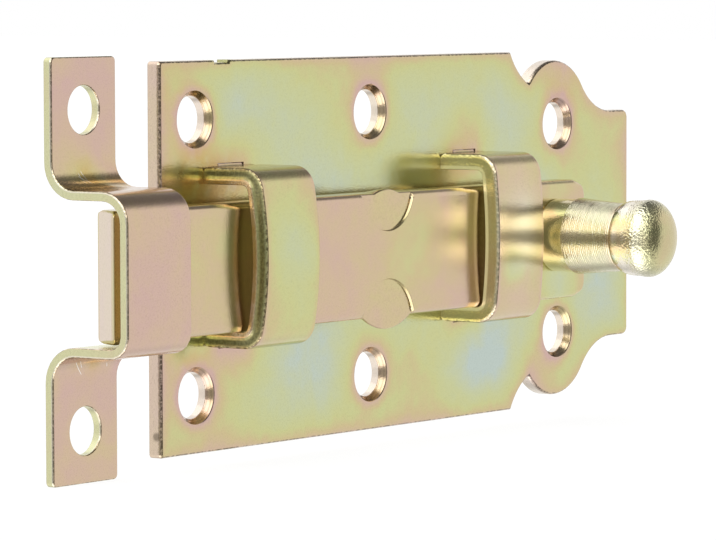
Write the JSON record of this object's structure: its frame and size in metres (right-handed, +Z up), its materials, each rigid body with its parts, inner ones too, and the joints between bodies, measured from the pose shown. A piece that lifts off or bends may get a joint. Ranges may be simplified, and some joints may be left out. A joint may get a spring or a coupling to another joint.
{
  "type": "door bolt",
  "caption": "Flat sliding door bolt: pressed back plate with two riveted guides, a flat bar with a turned knob, and a separate hat-shaped keeper.",
  "frame": {"origin": "centre of the mounting plate's back face", "axes": "+X along the bar from the keeper towards the knob, +Y from the knob into the door, +Z up"},
  "size_m": [0.1186, 0.024, 0.048],
  "materials": {
    "plate_zinc": "sheet steel with yellow iridescent zinc plating",
    "guide_zinc": "bent steel strap with yellow iridescent zinc plating",
    "bar_zinc": "flat steel bar with yellow iridescent zinc plating",
    "knob_zinc": "turned steel with yellow iridescent zinc plating",
    "keeper_zinc": "thin bent steel strap with yellow iridescent zinc plating"
  },
  "bodies": {
    "plate": {"mounting_plate": "plate_zinc", "front_guide": "guide_zinc", "rear_guide": "guide_zinc", "keeper": "keeper_zinc"},
    "bolt": {"bolt_bar": "bar_zinc", "knob": "knob_zinc"}
  },
  "joints": [
    {"name": "bolt_slide", "type": "slide", "parent": "plate", "child": "bolt", "axis": [1, 0, 0], "range_m": [-0.00185, 0.01475]}
  ]
}
